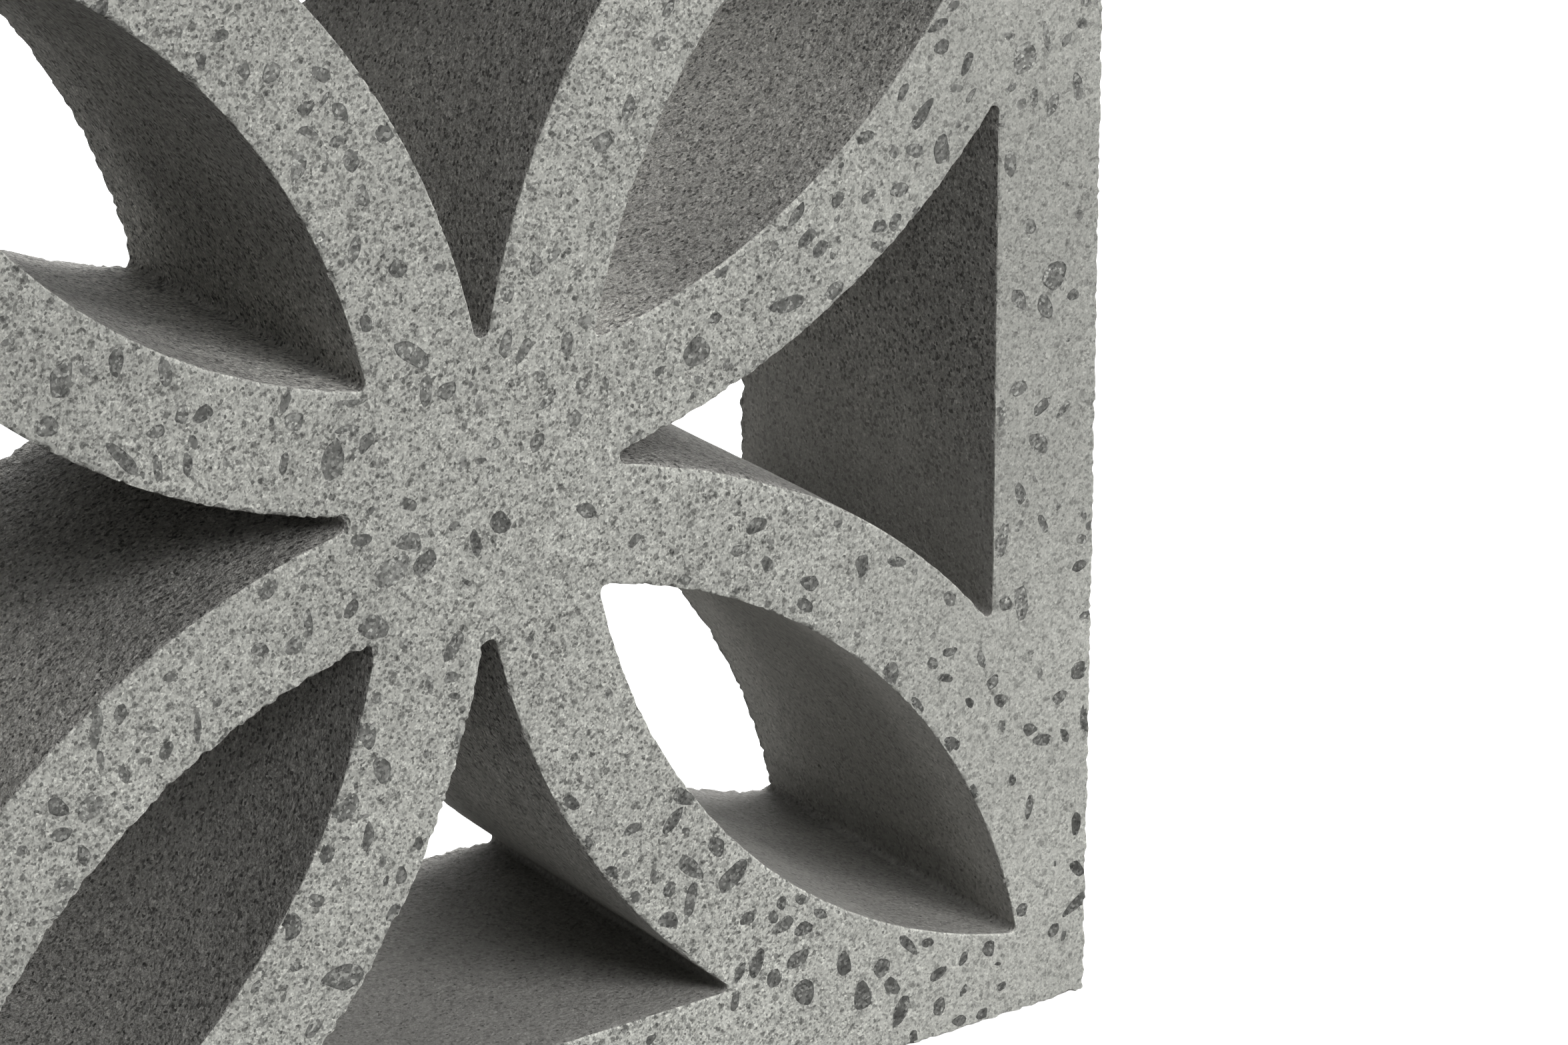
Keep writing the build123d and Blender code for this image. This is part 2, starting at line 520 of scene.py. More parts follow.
# ---------------------------------------------------------------- stones in the ground face
# The larger dark stones, as (x, z, half length, half width, angle) about the block's middle.
LARGE_STONES = [
    (-35.5, 80.5, 1.75, 1.25, 20), (-31.5, 81.5, 1.75, 0.6, 50), (-28.5, 78.5, 2.5, 1.25, 125), (-35, 76, 2.25, 1, 150),
    (-39, 76, 1.5, 1, 15), (82.5, -121.5, 2.75, 1.75, 100), (82, -126.5, 2, 1.5, 90), (-27.5, -42.5, 3, 1.75, 110),
    (-24.5, -50.5, 3, 1.75, 110), (87, -130, 3.25, 2.25, 90), (112, -143, 2, 1.25, 170), (118, -143, 1.75, 1.25, 10),
    (90.5, 34.5, 1.75, 1.5, 0), (94.5, 34.5, 2, 1.5, 60), (55, -94.5, 4, 2, 35), (-34, -91, 4.75, 2.5, 165), (47.5, 17.5, 3.25, 2.5, 30),
    (72.5, -125, 3.5, 2.25, 115), (-25, -21.5, 3.5, 2.5, 150), (69, 23, 4.25, 1.5, 5), (-32.5, 13, 4, 2.5, 70),
    (133.5, 16, 3, 2.75, 0), (-32.5, -56.5, 3.25, 2, 45), (45, -89.5, 3.75, 1.75, 135), (-86.5, 40, 3.25, 2.25, 75),
    (126.5, -52.5, 3.75, 1.75, 95), (61, -115, 3.25, 1.75, 70), (45, -96.5, 3.75, 1.5, 75), (-17, -6.5, 3, 1.75, 160),
    (-15, 30, 4, 2, 145), (121.5, -38, 4, 1.5, 80), (-45, -77.5, 2.75, 2, 85), (71, -117, 3, 1.75, 25),
    (142, -71, 2.5, 2, 90), (51.5, -87, 2.5, 1.75, 125), (97, -136, 3.5, 1.75, 60), (105.5, 47, 3.25, 2, 80),
    (67.5, -108.5, 2.75, 1.75, 15), (-24.5, 62, 2.5, 1.5, 90), (74, -36, 2.25, 1.75, 140), (122.5, 41.5, 2.75, 1.5, 105),
    (92, -125, 2.25, 2, 90), (-37, -64.5, 2, 1.75, 165), (94, -60, 2.25, 2, 105), (86.5, -35, 2.5, 1.75, 80),
    (-17.5, 47, 2.25, 1.75, 5), (39.5, -99.5, 2.5, 1.75, 155), (125, 13, 3, 1.5, 120), (109.5, -79.5, 2.25, 1.5, 145),
    (-12.5, 22.5, 2.75, 1.5, 90), (61, -21, 2.5, 1.5, 5), (-66, 37, 2.75, 1.5, 95), (-26.5, 69, 2.25, 1.5, 100),
    (131.5, 10, 2.75, 1.75, 115), (130.5, -19, 2.75, 1.75, 150), (94.5, -130, 2.5, 1.5, 135), (95.5, 41, 2.25, 1.5, 0),
    (43.5, -74, 2.75, 1.5, 140), (71, 40.5, 2.75, 1.25, 50), (-75.5, 23, 4, 1.25, 130), (65, -119.5, 2.25, 1.75, 105),
    (142.5, -116.5, 2.5, 1.25, 135), (-14, -11.5, 2.75, 2, 45), (100.5, 55, 3.75, 1.25, 45), (18.5, 25, 2.75, 1.5, 80),
    (98.5, -121.5, 3.5, 1, 130), (73.5, 35.5, 2.5, 1.25, 35), (-75.5, 41, 2.5, 1.5, 80), (143.5, -82.5, 3.5, 1, 95),
    (-19.5, 73, 2, 1.75, 55), (-8, -29.5, 3, 1.5, 55), (76.5, 32.5, 2.25, 1.5, 25), (58.5, -104.5, 2, 1.5, 25),
    (-87.5, -51, 2.25, 1.25, 100), (41, -78.5, 3, 1.25, 45), (-92, -40.5, 2.25, 1.5, 125), (73, -40.5, 2.25, 1.25, 145),
    (139, 54, 3.25, 1.25, 100), (142, -106, 2.75, 1.25, 95), (-78.5, -25.5, 2.25, 1.25, 85), (-80, -29.5, 2.75, 1.25, 105),
    (-69.5, -35, 2.25, 1.25, 45), (3, -7, 2.5, 2, 155), (-28, -63.5, 2.75, 1.25, 80), (142, -124.5, 3.5, 1.25, 35),
    (-2.5, -10, 3, 1.25, 110), (88, 41, 2, 1.25, 20), (-39, -17.5, 2.75, 1, 90), (108.5, -59, 2, 1.25, 170),
    (-39.5, -73.5, 2, 1.5, 140), (-26.5, 52.5, 2.75, 1.25, 80), (26.5, -85.5, 1.75, 1.25, 140), (33, 68.5, 2.5, 1.25, 70),
    (5, 28, 2.75, 1.25, 75), (90.5, 30.5, 2, 1.25, 170), (119.5, -68.5, 1.75, 1.5, 60), (-83.5, -26.5, 4, 1.25, 80),
    (126, -28.5, 2.75, 1.25, 105), (-78.5, -37.5, 2, 1.25, 120), (9, 26, 2.5, 1.25, 55), (127.5, 27.5, 2, 1.5, 110),
    (96, 60.5, 2, 1.25, 60), (128, -122, 1.75, 1.5, 130), (136.5, -129, 1.75, 1.5, 70), (17.5, -68.5, 2.5, 1.25, 135),
    (72, -104, 1.75, 1.25, 160), (121, -10.5, 2.75, 1, 90), (108.5, -47.5, 1.75, 1.5, 140), (40, -93, 1.75, 1.5, 70),
    (76.5, -108.5, 2, 1, 145), (-49.5, -20, 2.25, 1.25, 160), (-63, -32, 3, 0.75, 90), (64, -29.5, 2, 1.25, 115),
    (32, -92.5, 1.5, 1.25, 110), (53.5, 32.5, 2, 1, 25), (137, -76, 1.75, 1.5, 25), (80.5, 42, 1.75, 1.75, 155),
    (121.5, -73, 2, 1.25, 150), (-25.5, 15, 2, 1.5, 60), (-52, 96.5, 1.75, 1.25, 15), (55.5, -122, 2.25, 1, 80),
    (-62.5, 19, 2.25, 1, 95), (-24.5, 38, 2, 1.25, 105), (67, -103.5, 1.75, 1.25, 80), (-68.5, 19.5, 2.5, 1, 95),
    (95.5, -36.5, 2.5, 1, 160), (107.5, -64.5, 2.25, 1, 165), (111.5, 63.5, 2.5, 1, 70), (-23, -80.5, 2, 1, 50),
    (-42, 26.5, 2.5, 1, 75), (104.5, 72.5, 2.5, 1, 20), (31.5, -77.5, 2.25, 1.25, 5), (-17, 1, 2.25, 1.25, 150),
    (129.5, -99, 2.75, 1, 80), (106.5, -130.5, 2.25, 1.25, 20), (-68, -21, 1.75, 1, 165), (138.5, -85, 2.25, 1, 125),
    (131, 65.5, 3.25, 0.75, 100), (33, -17.5, 1.75, 1, 40), (22, -9, 2.25, 1.5, 150), (128, 54, 2.25, 1, 100),
    (132, -36.5, 2.5, 1, 120), (52, 23.5, 1.5, 1.25, 5), (44.5, -28.5, 1.75, 1, 0), (-21, -73.5, 2, 1.25, 80),
    (-47.5, 89.5, 1.75, 1.25, 100), (36.5, -89.5, 1.75, 1, 105), (21.5, -78, 1.75, 1, 115), (138.5, 11, 1.75, 1.25, 160),
    (-83, -33.5, 2.5, 0.75, 95), (100.5, -68.5, 2.5, 0.75, 130),
]


# Fainter ones, half hidden by the speckle.
FAINT_STONES = [
    (125.5, 62.5, 3.4, 2.9, 90), (40.5, 80, 2.3, 2, 0), (27, 63, 2.3, 1.8, 20), (94, 49, 1.8, 1.25, 120),
    (66.5, 35.5, 1.75, 1, 30), (112.5, 57, 1.75, 0.75, 50), (109, 59, 1.5, 1, 0), (125, 53, 1.25, 1.25, 0),
    (-21, -11.5, 3.6, 2.6, 30), (20, 10, 2, 1.75, 90), (24, -13, 2.25, 2, 0), (2, 9, 1.5, 1.25, 0),
    (-5, 6.5, 1.5, 1, 60), (-7, -5.5, 1.25, 1, 0), (-8, 21.5, 2, 1.75, 0), (-28.5, 23.5, 3.6, 0.75, 175),
    (-29.5, 18.5, 2.75, 0.75, 175), (-40.5, 22.5, 2, 1.75, 0), (-63, 28.5, 1.75, 1.5, 60), (-68.5, 26.5, 2, 1.25, 0),
    (-89.5, 32, 2.25, 2, 0), (-81.5, 41, 1.5, 1.25, 0), (-85.5, -42, 2.75, 2.25, 20), (-91.5, -46, 2, 1.5, 0),
    (-91.5, -56, 2, 1.75, 0), (-58.5, -28, 1.75, 1, 60), (-18.5, -26.5, 1.25, 1.25, 0), (-25, -36, 1.25, 1, 90),
    (-13.5, -36, 1.75, 0.75, 95), (-9, -35.5, 1.5, 1.25, 0), (12, 42, 2, 1.5, 90), (16, 43, 1.5, 1, 20),
]


def stone_outline(x, z, a, b, angle, r):
    """Angular outline with its corners knocked off, round an ellipse."""
    m = int(np.clip(round(4.0 + 0.7 * a + r.uniform(-0.6, 1.0)), 5, 8))
    t = (np.arange(m) + r.uniform(-0.28, 0.28, m)) * 2 * math.pi / m + r.uniform(0, 6.28)
    rad = 1.14 * r.uniform(0.82, 1.14, m)
    c = np.column_stack([a * rad * np.cos(t), b * rad * np.sin(t)])
    nxt = np.roll(c, -1, 0)
    cut = r.uniform(0.12, 0.28, (m, 1))
    pts = np.empty((2 * m, 2))
    pts[0::2], pts[1::2] = c + (nxt - c) * cut, nxt + (c - nxt) * r.uniform(0.12, 0.28, (m, 1))
    th = math.radians(angle)
    rot = np.array([[math.cos(th), -math.sin(th)], [math.sin(th), math.cos(th)]])
    return pts @ rot.T + np.array([x, z])


def pull_in(poly, least):
    """Slide outline points that come too near an edge back into the concrete."""
    poly = poly.copy()
    for _ in range(6):
        d = edge_distance(poly[:, 0], poly[:, 1])
        near = d < least
        if not near.any():
            break
        e = 0.02
        gx = (edge_distance(poly[:, 0] + e, poly[:, 1]) - edge_distance(poly[:, 0] - e, poly[:, 1])) / (2 * e)
        gz = (edge_distance(poly[:, 0], poly[:, 1] + e) - edge_distance(poly[:, 0], poly[:, 1] - e)) / (2 * e)
        g = np.column_stack([gx, gz])
        g /= np.maximum(np.linalg.norm(g, axis=1), 0.3)[:, None]
        poly[near] += (g * (least + 0.02 - d)[:, None])[near]
    kept = [poly[0]]
    for q in poly[1:]:
        if np.linalg.norm(q - kept[-1]) > 0.3:
            kept.append(q)
    while len(kept) > 3 and np.linalg.norm(kept[0] - kept[-1]) < 0.3:
        kept.pop()
    return np.array(kept)


rng = np.random.RandomState(4127)
stone_points = Sieve(2.0)


def cluster(x, z):
    return 1.0 + 0.8 * noise_a(np.array([[x, z, 9.0]]), 38.0)[0]


# each: full outline, outline kept off the edges, tone, centre, reach
placed, wanted, tries = [], 450, 0
queue = LARGE_STONES + FAINT_STONES
while len(placed) < wanted and tries < 9000:
    tries += 1
    if queue:
        x, z, a, b, angle = queue.pop(0)
        given = True
    else:
        given = False
        x, z = rng.uniform(-144.5, 144.5, 2)
        if in_concrete(x, z) < 0.2 or rng.uniform() > 0.35 * cluster(x, z) ** 2:
            continue
        unseen = x < -25 and z > 60
        a = math.exp(rng.normal(math.log(1.45), 0.42))
        a = min(max(a, 0.7), 4.6 if unseen else 2.3)
        b = a * rng.uniform(0.42, 0.85)
        angle = rng.uniform(0, 180)
    full = stone_outline(x, z, a, b, angle, rng)
    held = full
    if edge_distance(full[:, 0], full[:, 1]).min() < 1.4:
        held = pull_in(full, 1.4)
        if len(held) < 4 or edge_distance(held[:, 0], held[:, 1]).min() < 1.25:
            continue
    gap = 0.42 if given else 0.75
    if not all(stone_points.free(q[0], q[1], gap) for q in held):
        continue
    near = [s for s in placed if abs(s[3][0] - x) + abs(s[3][1] - z) < s[4] + a + 3]
    if any(inside(s[0], full).any() or inside(full, s[0]).any() for s in near):
        continue
    for q in held:
        stone_points.add(*q)
    tone = rng.uniform()
    if x > 25 and z < -75:
        tone *= 0.5
    if tries <= len(LARGE_STONES):
        tone *= 0.6
    elif tries <= len(LARGE_STONES) + len(FAINT_STONES):
        tone = 0.75 + 0.25 * tone
    if x > 112 and z > -70:
        tone = 0.5 + 0.5 * tone
    placed.append((full, held, 0.05 + 0.95 * tone, (x, z), a * 1.3))
stones = placed


SKIN_FROM = 2.1


def stone_at(pts):
    """Tone of the stone under each point, or -1."""
    tone = np.full(len(pts), -1.0)
    for full, held, shade, (x, z), reach in stones:
        m = np.flatnonzero((np.abs(pts[:, 0] - x) < reach + 1) & (np.abs(pts[:, 1] - z) < reach + 1))
        if len(m):
            m = m[inside(full, pts[m])]
            tone[m] = shade
            # a thin darker skin round the larger stones
            if reach > SKIN_FROM:
                core = (full - [x, z]) * (1 - 0.34 / (0.6 * reach)) + [x, z]
                tone[m[~inside(core, pts[m])]] = shade * (0.35 if int(shade * 100) % 3 == 0 else 0.75)
    return tone


# ---------------------------------------------------------------- the two faces
def edge_wear(co, which):
    """Move face points that lie within an arris's wear."""
    moved = np.zeros((len(co), 3))
    dist = edge_distance(co[:, 0], co[:, 1])
    for k in np.flatnonzero(dist < 2.6):
        _, i, _ = edge_tree.find((co[k, 0], co[k, 1], 0.0))
        which_loop, at = int(edge_samples[i, 2]), edge_samples[i, 3]
        size, hollow = rims[which_loop][which]
        s = loops[which_loop].dense[:, 0]
        r, h = np.interp(at, s, size), np.interp(at, s, hollow)
        if r <= dist[k]:
            continue
        inset, depth = wrap(np.array([-dist[k]]), r, h)
        p, n = loops[which_loop].at(np.array([at]))
        shift = (inset[0] - dist[k]) * -n[0]
        moved[k] = (shift[0], depth[0], shift[1])
    return moved


def face(which):
    """Triangles of one face between its innermost rim rows."""
    row = 0 if which == 0 else len(FRONT_ROWS) + len(BACK_ROWS) - 1
    pts, glob, edges = [], [], []
    sieve = Sieve(3.0)
    polys = []
    u = FRONT_ROWS[0] if which == 0 else BACK_ROWS[-1]
    for i, loop in enumerate(loops):
        p, n = loop.at(loop.s)
        ring = p - u * loop.inward(p, n)
        first = len(pts)
        for k in range(loop.n):
            pts.append(tuple(ring[k]))
            glob.append(rings[i][row][k])
            sieve.add(*ring[k])
        edges += [(first + k, first + (k + 1) % loop.n) for k in range(loop.n)]
        polys.append(ring)
    dents = {}

    def push(x, z):
        pts.append((x, z))
        glob.append(-1)
        sieve.add(x, z)
        return len(pts) - 1

    r = np.random.RandomState(910 + which)
    if which == 0:
        for full, held, tone, c, reach in stones:
            ids = [push(*q) for q in held]
            edges += [(ids[a], ids[(a + 1) % len(ids)]) for a in range(len(ids))]
            if reach > SKIN_FROM:
                core = (held - c) * (1 - 0.34 / (0.6 * reach)) + c
                ids = [push(*q) for q in core]
                edges += [(ids[a], ids[(a + 1) % len(ids)]) for a in range(len(ids))]
    count = 70 if which == 0 else 420
    made = 0
    for _ in range(count * 8):
        if made >= count:
            break
        x, z = r.uniform(-143, 143, 2)
        size = (0.2 + 0.25 * r.uniform() ** 2) if which == 0 else (0.3 + 0.7 * r.uniform() ** 3)
        if edge_distance(x, z)[0] < 2.2 + size or not sieve.free(x, z, size + 0.7):
            continue
        ring = []
        turn = r.uniform(0, 6.28)
        for a in np.arange(7) * 2 * math.pi / 7:
            rr = size * r.uniform(0.82, 1.18)
            ring.append(push(x + rr * math.cos(a + turn), z + rr * math.sin(a + turn)))
        edges += [(ring[a], ring[(a + 1) % 7]) for a in range(7)]
        dents[push(x, z)] = size * r.uniform(0.8, 1.3)
        made += 1
    for inset, space in ((-u + 1.2, 2.2), (-u + 3.2, 3.4)):
        for loop in loops:
            s = np.arange(space * 0.5, loop.length - 0.3, space)
            p, n = loop.at(s)
            for x, z in p + inset * loop.inward(p, n):
                if edge_distance(x, z)[0] > inset * 0.86 and sieve.free(x, z, space * 0.42):
                    push(x, z)
    space = 4.4
    for j, z in enumerate(np.arange(-143, 143, space * 0.866)):
        for x in np.arange(-143 + (space / 2 if j % 2 else 0), 143, space):
            xx, zz = x + r.uniform(-0.5, 0.5), z + r.uniform(-0.5, 0.5)
            if edge_distance(xx, zz)[0] > -u + 2.0 and sieve.free(xx, zz, space * 0.48):
                push(xx, zz)
    co, ids, t = triangulate(pts, edges)
    mid = co[t].mean(1)
    keep = inside(polys[-1], mid)
    for poly in polys[:-1]:
        keep &= ~inside(poly, mid)
    t, mid = t[keep], mid[keep]
    index = np.where(ids >= 0, np.array(glob)[np.maximum(ids, 0)], -1)
    new = np.flatnonzero(index < 0)
    moved = edge_wear(co[new], which)
    depth = moved[:, 1].copy()
    if which == 1:
        q = np.column_stack([co[new, 0], np.full(len(new), 45.0), co[new, 1]])
        fade = np.clip((edge_distance(co[new, 0], co[new, 1]) - 1.4) / 4, 0, 1)
        depth += fade * (0.10 + 0.10 * noise_a(q, 34.0) + 0.05 * noise_b(q, 8.0))
        depth = np.maximum(depth, 0.0)
    for a, k in enumerate(new):
        if ids[k] in dents:
            depth[a] += dents[ids[k]]
    y = FRONT + depth if which == 0 else 45.0 - depth
    index[new] = put(np.column_stack([co[new, 0] + moved[:, 0], y, co[new, 1] + moved[:, 2]]))
    f = index[t]
    # seen from -Y with x to the right and z up, counter-clockwise looks along -Y
    tris.append(f if which == 0 else f[:, ::-1])
    tone = stone_at(mid) if which == 0 else np.full(len(mid), -1.0)
    return tone


front_tone = face(0)
TRI_KIND.append(np.where(front_tone >= 0, STONE, GROUND))
back_tone = face(1)
TRI_KIND.append(np.full(len(back_tone), CAST))

co = np.vstack(verts)
quads = np.vstack(quads)
quad_kind = np.concatenate(QUAD_KIND)
quad_mid = co[quads].mean(1)
quad_tone = np.full(len(quads), -1.0)
on_face = np.flatnonzero(quad_kind == GROUND)
quad_tone[on_face] = stone_at(quad_mid[on_face][:, [0, 2]])
quad_kind = np.where(quad_tone >= 0, STONE, quad_kind)
tri_tone = np.concatenate([np.full(sum(len(t) for t in tris[:-2]), -1.0), front_tone, back_tone])
tri_kind = np.concatenate(TRI_KIND)
tris = np.vstack(tris)

co = (co + np.array([0.0, 0.0, HALF])) * MM
mesh = bpy.data.meshes.new("pierced_block")
n_loops = len(tris) * 3 + len(quads) * 4
mesh.vertices.add(len(co))
mesh.vertices.foreach_set("co", co.ravel())
mesh.loops.add(n_loops)
mesh.loops.foreach_set("vertex_index", np.concatenate([tris.ravel(), quads.ravel()]).astype(np.int32))
mesh.polygons.add(len(tris) + len(quads))
starts = np.concatenate([np.arange(len(tris)) * 3, len(tris) * 3 + np.arange(len(quads)) * 4])
mesh.polygons.foreach_set("loop_start", starts.astype(np.int32))
kind = np.concatenate([tri_kind, quad_kind])
tone = np.concatenate([tri_tone, quad_tone])
mesh.update(calc_edges=True)
mesh.validate(verbose=True)
mesh.polygons.foreach_set("material_index", kind.astype(np.int32))
mesh.polygons.foreach_set("use_smooth", np.ones(len(kind), bool))
shade = mesh.attributes.new("stone_tone", "FLOAT", "FACE")
shade.data.foreach_set("value", np.maximum(tone, 0.0).astype(np.float32))
mesh.set_sharp_from_angle(angle=math.radians(32))
edge = mesh.attributes.new("arris", "FLOAT", "FACE")
edge.data.foreach_set("value", np.concatenate([np.zeros(len(tris)), np.concatenate(quad_arris)]).astype(np.float32))
piece = bpy.data.objects.new("pierced_block", mesh)
bpy.context.scene.collection.objects.link(piece)


# ---------------------------------------------------------------- materials
class Nodes:
    """Small helpers for building a node material."""

    def __init__(self, name):
        self.mat = bpy.data.materials.new(name)
        self.mat.use_nodes = True
        self.t = self.mat.node_tree
        self.t.nodes.clear()
        self.out = self.t.nodes.new("ShaderNodeOutputMaterial")
        self.bsdf = self.t.nodes.new("ShaderNodeBsdfPrincipled")
        self.t.links.new(self.bsdf.outputs[0], self.out.inputs[0])
        self.co = self.t.nodes.new("ShaderNodeTexCoord").outputs["Object"]

    def link(self, a, b):
        self.t.links.new(a, b)

    def noise(self, scale, detail=2.0, rough=0.5, vec=None):
        n = self.t.nodes.new("ShaderNodeTexNoise")
        n.inputs["Scale"].default_value = scale
        n.inputs["Detail"].default_value = detail
        n.inputs["Roughness"].default_value = rough
        self.link(vec or self.co, n.inputs["Vector"])
        return n.outputs["Fac"]

    def cells(self, scale, out="Distance", feature="F1", rand=1.0, vec=None):
        n = self.t.nodes.new("ShaderNodeTexVoronoi")
        n.feature = feature
        n.inputs["Scale"].default_value = scale
        n.inputs["Randomness"].default_value = rand
        self.link(vec or self.co, n.inputs["Vector"])
        return n.outputs[out]

    def math(self, op, a, b=None, c=None, clamp=False):
        n = self.t.nodes.new("ShaderNodeMath")
        n.operation = op
        n.use_clamp = clamp
        for i, v in enumerate((a, b, c)):
            if v is None:
                continue
            if isinstance(v, (int, float)):
                n.inputs[i].default_value = v
            else:
                self.link(v, n.inputs[i])
        return n.outputs[0]

    def remap(self, v, a0, a1, b0, b1, smooth=False):
        n = self.t.nodes.new("ShaderNodeMapRange")
        n.interpolation_type = "SMOOTHSTEP" if smooth else "LINEAR"
        for key, val in (("From Min", a0), ("From Max", a1), ("To Min", b0), ("To Max", b1)):
            if isinstance(val, (int, float)):
                n.inputs[key].default_value = val
            else:
                self.link(val, n.inputs[key])
        self.link(v, n.inputs["Value"])
        return n.outputs[0]

    def distance(self, place):
        """Distance of a point from the line through (x, z), in metres."""
        n = self.t.nodes.new("ShaderNodeVectorMath")
        n.operation = "MULTIPLY"
        n.inputs[1].default_value = (1, 0, 1)
        self.link(self.co, n.inputs[0])
        d = self.t.nodes.new("ShaderNodeVectorMath")
        d.operation = "DISTANCE"
        d.inputs[1].default_value = (place[0], 0, place[1])
        self.link(n.outputs[0], d.inputs[0])
        return d.outputs["Value"]

    def channel(self, color, index):
        n = self.t.nodes.new("ShaderNodeSeparateColor")
        self.link(color, n.inputs[0])
        return n.outputs[index]

    def tint(self, rgb, value):
        """A colour times a brightness."""
        n = self.t.nodes.new("ShaderNodeVectorMath")
        n.operation = "SCALE"
        n.inputs[0].default_value = rgb
        self.link(value, n.inputs["Scale"])
        return n.outputs[0]

    def mix(self, fac, a, b):
        n = self.t.nodes.new("ShaderNodeMix")
        n.data_type = "RGBA"
        for key, v in ((0, fac), (6, a), (7, b)):
            if isinstance(v, (int, float)):
                n.inputs[key].default_value = v
            elif isinstance(v, tuple):
                n.inputs[key].default_value = (*v, 1.0)
            else:
                self.link(v, n.inputs[key])
        return n.outputs[2]

    def bump(self, height, strength, distance, normal=None):
        n = self.t.nodes.new("ShaderNodeBump")
        n.inputs["Strength"].default_value = strength
        n.inputs["Distance"].default_value = distance
        self.link(height, n.inputs["Height"])
        if normal is not None:
            self.link(normal, n.inputs["Normal"])
        return n.outputs[0]


def product(m, values):
    out = values[0]
    for v in values[1:]:
        out = m.math("MULTIPLY", out, v)
    return out


def ground_material():
    m = Nodes("concrete")
    # the speckle is quieter towards the right border, where the grinding went less deep
    axes = m.t.nodes.new("ShaderNodeSeparateXYZ")
    m.link(m.co, axes.inputs[0])
    calm = m.remap(axes.outputs["X"], 0.055, 0.125, 1.0, 0.62, smooth=True)

    def about_one(v):
        return m.math("ADD", m.math("MULTIPLY", m.math("SUBTRACT", v, 1.0), calm), 1.0)

    cloud = m.remap(m.noise(24, 3), 0.3, 0.7, 0.94, 1.06)
    mottle = m.remap(m.noise(300, 3, 0.7), 0.3, 0.7, 0.88, 1.12)
    clump = m.remap(m.channel(m.cells(1050, "Color"), 1), 0.0, 0.35, 0.70, 1.05)
    g = m.channel(m.cells(1800, "Color"), 0)
    grain = m.math("ADD", m.remap(g, 0.0, 0.34, 0.34, 1.0), m.remap(g, 0.74, 1.0, 0.0, 0.34))
    f = m.channel(m.cells(3000, "Color"), 1)
    fine = m.math("ADD", m.remap(f, 0.0, 0.36, 0.60, 1.0), m.remap(f, 0.70, 1.0, 0.0, 0.26))
    # small dark grains of stone, each with its own size
    near = m.cells(430, "Distance")
    own = m.channel(m.cells(430, "Color"), 2)
    warp = m.math("MULTIPLY", m.math("SUBTRACT", m.noise(1100, 2), 0.5), 0.45)
    chip = m.remap(m.math("SUBTRACT", m.math("ADD", near, warp), m.math("MULTIPLY", own, 0.34)), -0.05, 0.05, 1.0, 0.0)
    chip = m.math("MULTIPLY", chip, m.remap(own, 0.55, 0.62, 0.0, 1.0))
    chips = m.remap(chip, 0.0, 1.0, 1.0, 0.48)
    # painted light and shade: brighter towards the bottom and the lower right, darker half way up the right border
    across = m.remap(axes.outputs["X"], -0.145, 0.145, -1.0, 1.0)
    upward = m.remap(axes.outputs["Z"], 0.0, 0.29, -1.0, 1.0)
    painted_lift = m.math("ADD", m.math("MULTIPLY", across, 0.055), m.math("MULTIPLY", upward, -0.19))
    painted_lift = m.math("ADD", m.math("ADD", painted_lift, m.math("MULTIPLY", m.math("MULTIPLY", across, upward), -0.015)), 1.03)
    # painted shade: a darker band half way up the right border
    band = m.remap(m.math("ABSOLUTE", upward), 0.05, 0.5, 1.0, 0.0, smooth=True)
    band = m.math("MULTIPLY", band, m.remap(axes.outputs["X"], 0.095, 0.125, 0.0, 0.15, smooth=True))
    painted_lift = m.math("MULTIPLY", painted_lift, m.math("SUBTRACT", 1.0, band))
    value = product(m, [cloud, painted_lift] + [about_one(v) for v in (mottle, clump, grain, fine, chips)])
    # paler rim quads along the front arrises: partly worn cement, partly a painted highlight on the rounded edge
    arris_wear_and_highlight = m.t.nodes.new("ShaderNodeAttribute")
    arris_wear_and_highlight.attribute_name = "arris"
    value = m.math("MULTIPLY", value, m.remap(arris_wear_and_highlight.outputs["Fac"], 0.0, 1.0, 1.0, 1.18))
    m.link(m.tint((0.456, 0.458, 0.424), value), m.bsdf.inputs["Base Color"])
    m.link(m.remap(m.noise(1200, 2), 0.3, 0.7, 0.66, 0.86), m.bsdf.inputs["Roughness"])
    m.bsdf.inputs["Specular IOR Level"].default_value = 0.32
    h = m.math("ADD", m.noise(1400, 2), m.math("MULTIPLY", m.noise(420, 2), 0.6))
    m.link(m.bump(h, 0.6, 0.00016), m.bsdf.inputs["Normal"])
    return m.mat


def stone_material():
    m = Nodes("ground_stone")
    n = m.t.nodes.new("ShaderNodeAttribute")
    n.attribute_name = "stone_tone"
    own = m.remap(n.outputs["Fac"], 0.0, 1.0, 0.72, 1.62)
    g = m.channel(m.cells(1750, "Color"), 0)
    grain = m.math("ADD", m.remap(g, 0.0, 0.4, 0.42, 0.98), m.remap(g, 0.70, 1.0, 0.0, 1.2))
    clump = m.remap(m.noise(520, 3, 0.65), 0.35, 0.65, 0.68, 1.3)
    fleck = m.remap(m.noise(950, 2, 0.6), 0.60, 0.70, 1.0, 1.55)
    value = product(m, [own, grain, clump, fleck])
    m.link(m.tint((0.164, 0.165, 0.154), value), m.bsdf.inputs["Base Color"])
    m.link(m.remap(m.noise(1500, 2), 0.3, 0.7, 0.55, 0.75), m.bsdf.inputs["Roughness"])
    m.bsdf.inputs["Specular IOR Level"].default_value = 0.38
    m.link(m.bump(m.noise(1700, 2), 0.3, 0.0001), m.bsdf.inputs["Normal"])
    return m.mat


